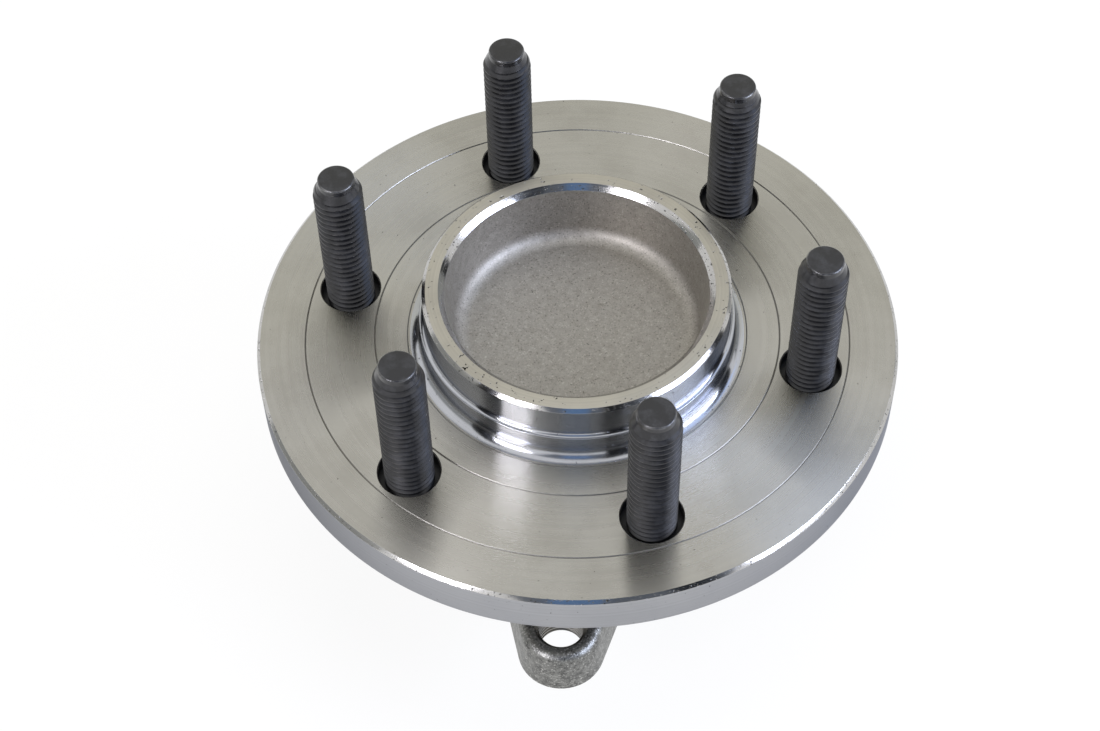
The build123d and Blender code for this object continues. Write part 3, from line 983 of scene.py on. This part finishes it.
@dataclass
class WheelStud:
    """A pressed-in wheel stud: nose, cone, coarse thread, shoulder and round head behind the flange."""

    thread: Thread = Thread(pitch=2.0 * MM, root_radius=5.77 * MM, root_flat=0.45 * MM)
    thread_start: float = -2.9 * MM
    start_turn: float = 2.4
    segments: int = 64
    nose_radius: float = 5.15 * MM
    nose_round: float = 0.6 * MM
    nose_length: float = 2.0 * MM
    cone_length: float = 3.2 * MM
    cone_top_round: float = 0.4 * MM
    cone_foot_round: float = 0.3 * MM
    shoulder_radius: float = 7.95 * MM
    shoulder_depth: float = 3.6 * MM
    head_radius: float = 11.15 * MM
    head_chamfer: float = 0.9 * MM
    head_round: float = 0.5 * MM
    level: float = 0.95
    skin_depth: float = 0.05 * MM

    def _blank(self, top: float, back: float) -> Object:
        """The stud before its thread is rolled.

        Args:
            top: the height of its nose.
            back: the height of its head's seat.

        Returns:
            The blank.
        """
        radius = mount_size("wheel_studs", "stud_r_mm")
        head_end = back - STUD_HEAD_HEIGHT
        corners = [
            (0, top, 0),
            (self.nose_radius, top, self.nose_round),
            (self.nose_radius, top - self.nose_length, self.cone_top_round),
            (radius, top - self.nose_length - self.cone_length, self.cone_foot_round),
            (radius, -self.shoulder_depth, 0),
            (self.shoulder_radius, -self.shoulder_depth, 0),
            (self.shoulder_radius, back, 0),
            (self.head_radius, back, self.head_round),
            (self.head_radius, head_end + self.head_chamfer, self.head_round),
            (self.head_radius - self.head_chamfer, head_end, self.head_round),
            (0, head_end, 0),
        ]
        return Outline(corners).turned("stud_blank", self.segments)

    def _dress(self, stud: Object, top: float, back: float) -> None:
        """Gives each face of a stud its finish.

        Args:
            stud: the threaded stud.
            top: the height of its nose.
            back: the height of its head's seat.
        """
        skins = [Skin.STUD, Skin.STUD_EDGE, Skin.BORE]
        wear(stud, skins)
        for face in stud.data.polygons:
            # The nose's rounded edge takes the paler rim: wear and a painted highlight.
            if face.center.z > top - self.nose_round and face.normal.z < self.level:
                face.material_index = skins.index(Skin.STUD_EDGE)
            # The stud's shoulder, deep in its hole, takes the near-black painted shade.
            elif back < face.center.z < self.skin_depth - self.shoulder_depth:
                face.material_index = skins.index(Skin.BORE)

    def build(self) -> list[Object]:
        """Makes one stud and copies it to each hole, with its thread starting elsewhere each time.

        Returns:
            The studs.
        """
        top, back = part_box("wheel_stud_1")[1].z, flange_back()
        blank = self._blank(top, back)
        turns = math.ceil((top - self.thread_start) / self.thread.pitch)
        open_r = mount_size("wheel_studs", "stud_r_mm") + OVERCUT
        cut_away(blank, self.thread.cutter("thread_cutter", open_r, self.thread_start, turns))
        smooth(blank, THREAD_ANGLE)
        self._dress(blank, top, back)
        studs = []
        for number, place in enumerate(stud_places()):
            stud = copy_of(blank, f"threaded_stud_{number + 1}")
            move(stud, Vector((place.x, place.y, 0)), number * self.start_turn)
            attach(stud, "hub")
            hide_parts(f"wheel_stud_{number + 1}")
            studs.append(stud)
        bpy.data.objects.remove(blank)
        return studs


@dataclass
class OuterRing:
    """The fixed ring: forged outside, machined where it seats and rolls, and a thread in each lug."""

    thread: Thread = Thread(pitch=1.5 * MM, root_radius=7.0 * MM, root_flat=0.19 * MM)
    start_turn: float = 1.9
    first_lug: float = math.radians(-90)
    hole_skin: float = 1.3 * MM
    face_skin: float = 0.05 * MM

    def _merged(self) -> Object:
        """Copies the frame's outer ring.

        Returns:
            The copy, as one joined mesh with normals of its own.
        """
        node = NODES["outer_ring"]
        ring = copy_of(node, "tapped_outer_ring")
        ring.data.transform(node.matrix_world)
        pick_only(ring)
        bpy.ops.mesh.customdata_custom_splitnormals_clear()
        bpy.ops.object.mode_set(mode="EDIT")
        bpy.ops.mesh.select_all(action="SELECT")
        bpy.ops.mesh.remove_doubles(threshold=WELD)
        bpy.ops.mesh.normals_make_consistent(inside=False)
        bpy.ops.object.mode_set(mode="OBJECT")
        return ring

    def _holes(self) -> list[Point]:
        """Works out where the lugs are tapped.

        Returns:
            The middle of each hole, seen from above.
        """
        circle_r, count = mount_size("knuckle_bolts", "pcd_mm") / 2, mount("knuckle_bolts")["dims"]["count"]
        turns = (self.first_lug + FULL_TURN * number / count for number in range(count))
        return [(circle_r * math.cos(turn), circle_r * math.sin(turn)) for turn in turns]

    def _tap(self, ring: Object) -> None:
        """Cuts a thread in each lug, from its seat up through its upper face.

        Args:
            ring: the ring's mesh.
        """
        seat = mount_height("knuckle_face")
        thickness = 2 * (mount_height("knuckle_bolts") - seat)
        turns = math.ceil(thickness / self.thread.pitch) + 1
        tap = self.thread.cutter("tap", mount_size("knuckle_bolts", "hole_r_mm") - OVERCUT, seat, turns)
        for number, hole in enumerate(self._holes()):
            one = copy_of(tap, f"tap_{number + 1}")
            move(one, Vector((*hole, 0)), number * self.start_turn)
            cut_away(ring, one)
        bpy.data.objects.remove(tap)

    def _dress(self, ring: Object) -> None:
        """Gives each face of the ring its finish.

        Args:
            ring: the finished mesh.
        """
        seat = mount_height("knuckle_face") + self.face_skin
        spigot_r = mount_size("knuckle_spigot", "r_mm")
        hole_r = mount_size("knuckle_bolts", "hole_r_mm") + self.hole_skin
        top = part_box("outer_ring")[1].z - self.face_skin
        holes = self._holes()
        skins = [Skin.FORGING, Skin.PILOT, Skin.THREAD]
        wear(ring, skins)
        for face in ring.data.polygons:
            place, normal = face.center, face.normal
            inward = place.x * normal.x + place.y * normal.y < 0 and math.hypot(place.x, place.y) < spigot_r
            if any(math.dist(place[:2], hole) < hole_r for hole in holes):
                face.material_index = skins.index(Skin.THREAD)
            elif place.z < seat or place.z > top or inward:
                face.material_index = skins.index(Skin.PILOT)
            else:
                face.material_index = skins.index(Skin.FORGING)

    def build(self) -> Object:
        """Taps the lugs and gives each face its finish.

        Returns:
            The finished piece.
        """
        ring = self._merged()
        self._tap(ring)
        smooth(ring, TURNED_ANGLE)
        self._dress(ring)
        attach(ring, "fixed_ring")
        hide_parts("outer_ring")
        return ring


@dataclass
class BearingInside:
    """What the outer ring holds: balls, cages, inner ring, seals, slinger, encoder and cap."""

    finishes: tuple[tuple[str, Skin], ...] = (
        ("ball", Skin.BALL),
        ("cage", Skin.CAGE),
        ("inner_ring", Skin.BALL),
        ("seal_case", Skin.SEAL_STEEL),
        ("seal_lips", Skin.RUBBER),
        ("slinger", Skin.STAINLESS),
        ("encoder", Skin.MAGNET),
        ("end_cap_seal", Skin.RUBBER),
        ("end_cap", Skin.STAINLESS),
    )

    def build(self) -> int:
        """Gives each node of the frame that stays its finish.

        Returns:
            How many nodes were dressed.
        """
        dressed = 0
        for name, node in NODES.items():
            skin = next((skin for word, skin in self.finishes if word in name), None)
            if skin and not node.hide_render:
                refinish(node, skin)
                dressed += 1
        return dressed


@dataclass(frozen=True)
class Panel:
    """A rectangle that faces the hub: degrees from +X towards +Y and above the wheel face, and metres."""

    name: str
    azimuth: float
    elevation: float
    size: Point
    colour: str
    distance: float = 1.6

    def place(self) -> Matrix:
        """Works out where it stands.

        Returns:
            A matrix whose -Z looks at the hub.
        """
        rise = math.radians(self.elevation)
        away = Vector((math.cos(rise), 0, math.sin(rise)))
        away.rotate(Matrix.Rotation(math.radians(self.azimuth), 3, "Z"))
        return Matrix.Translation(away * self.distance) @ away.to_track_quat("Z", "Y").to_matrix().to_4x4()

    def soft_box(self, power: float, shine: bool = True) -> None:
        """Makes it a lamp.

        Args:
            power: its power in watts.
            shine: whether metal mirrors it.
        """
        light = bpy.data.lights.new(self.name, "AREA")
        light.shape = "RECTANGLE"
        light.size, light.size_y = self.size
        light.energy = power
        light.color = linear(self.colour)[:3]
        lamp = bpy.data.objects.new(self.name, light)
        lamp.matrix_world = self.place()
        lamp.visible_camera = False
        lamp.visible_glossy = shine
        bpy.context.scene.collection.objects.link(lamp)

    def card(self, strength: float = 1.0) -> None:
        """Makes it a card that only mirrors show, as one of the darker and bluer parts of a room.

        Args:
            strength: how bright it is.
        """
        card = plane(self.name, 1)
        card.data.transform(self.place() @ Matrix.Diagonal((*self.size, 1, 1)))
        card.visible_camera = card.visible_diffuse = card.visible_shadow = False
        made = bpy.data.materials.new(self.name)
        nodes = Nodes.of(made)
        glow = nodes.add("Emission", {"Color": self.colour, "Strength": strength})
        nodes.add("OutputMaterial", {0: glow})
        card.data.materials.append(made)


@dataclass
class Studio:
    """A pale floor, soft lamps, cards that the polished steel reflects, and the camera."""

    azimuth: float = math.radians(4.91)
    elevation: float = math.radians(52.68)
    roll: float = math.radians(-1.28)
    distance: float = 597.5 * MM
    aim: Corner = (-6.77 * MM, -14.17 * MM, 0.0)
    lens: float = 69.16
    sensor: float = 36.0
    floor_size: float = 8.0
    floor_shadow: float = 0.12
    room_light: float = 0.5
    lamp_distance: float = 1.4

    def _floor(self) -> None:
        """A wide pale floor that shows nearly white and keeps a faint shadow."""
        floor = plane("studio_floor", self.floor_size)
        move(floor, Vector((0, 0, CAD_BOX[0].z)))
        made = bpy.data.materials.new("pale_floor")
        nodes = Nodes.of(made)
        paper = nodes.add("BsdfDiffuse", {"Color": "#F2F2F0"})
        glow = nodes.add("Emission", {"Color": "#FFFFFF"})
        lit = {0: nodes.background(), 1: 1 - self.floor_shadow}
        share = nodes.add("Math", lit, operation="MULTIPLY")
        mixed = nodes.add("MixShader", {0: share, 1: paper, 2: glow})
        nodes.add("OutputMaterial", {0: mixed})
        floor.data.materials.append(made)

    def _world(self) -> None:
        """White where it is seen or mirrored, and a plain soft light elsewhere."""
        world = bpy.data.worlds.new("soft_room")
        nodes = Nodes.of(world)
        strength = nodes.add("MapRange", {0: nodes.background(), 3: self.room_light})
        back = nodes.add("Background", {"Color": "#FFFFFF", "Strength": strength})
        nodes.add("OutputWorld", {0: back})
        bpy.context.scene.world = world

    def _camera(self) -> None:
        """The camera at the photo's angle."""
        turn = Matrix.Rotation(self.azimuth, 3, "Z")
        back = turn @ Vector((0, -math.cos(self.elevation), math.sin(self.elevation)))
        level = turn @ Vector((1, 0, 0))
        upright = back.cross(level)
        right = level * math.cos(self.roll) + upright * math.sin(self.roll)
        up = back.cross(right)
        view = bpy.data.cameras.new("photo_view")
        view.lens = self.lens
        view.sensor_width = self.sensor
        view.sensor_fit = "HORIZONTAL"
        camera = bpy.data.objects.new("photo_view", view)
        place = Vector(self.aim) + back * self.distance
        camera.matrix_world = Matrix.Translation(place) @ Matrix((right, up, back)).transposed().to_4x4()
        bpy.context.scene.collection.objects.link(camera)
        bpy.context.scene.camera = camera

    def build(self) -> None:
        """Sets up the floor, the world, the lamps, the cards and the camera."""
        self._floor()
        self._world()
        lamps = self.lamp_distance
        Panel("window_right", -14, 28, (0.95, 0.45), "#D6E1FF", lamps).soft_box(19)
        Panel("window_left", -128, 33, (0.42, 0.5), "#F6F4FF", lamps).soft_box(10)
        Panel("soft_top", 80, 75, (1.2, 1.2), "#FFFDF8", lamps).soft_box(10, shine=False)
        Panel("room_behind_camera", -72, 40, (1.75, 1.35), "#6E747F").card()
        Panel("dark_doorway", -52, 42, (0.34, 1.3), "#2E3238", 1.55).card()
        Panel("blue_card", -87, 38, (0.36, 0.8), "#6C8FC0", 1.5).card()
        Panel("beige_wall", 98, 30, (3.4, 1.25), "#ECEBE1", 1.7).card()
        Panel("skylight", 25, 57, (0.75, 0.65), "#C4D8FF", 1.5).card(1.6)
        Panel("grey_wall_left", -168, 14, (1.3, 0.75), "#A6A8A6").card()
        Panel("grey_wall_right", 48, 12, (1.1, 0.75), "#A6A8A6").card()
        self._camera()
        bpy.context.scene.view_settings.view_transform = "Standard"


def main() -> None:
    """Builds the hub unit's visual model round the frame, piece by piece."""
    logging.basicConfig(level=logging.INFO, format="%(name)s: %(message)s")
    hub = HubForging().build()
    log.info("hub forging: %d faces", len(hub.data.polygons))
    studs = WheelStud().build()
    log.info("wheel studs: %d of %d faces each", len(studs), len(studs[0].data.polygons))
    ring = OuterRing().build()
    log.info("outer ring: %d faces", len(ring.data.polygons))
    log.info("nodes of the frame with a new finish: %d", BearingInside().build())
    Studio().build()
    log.info("studio: floor, lamps, cards and camera")
    bpy.context.view_layer.update()


if __name__ == "__main__":
    main()
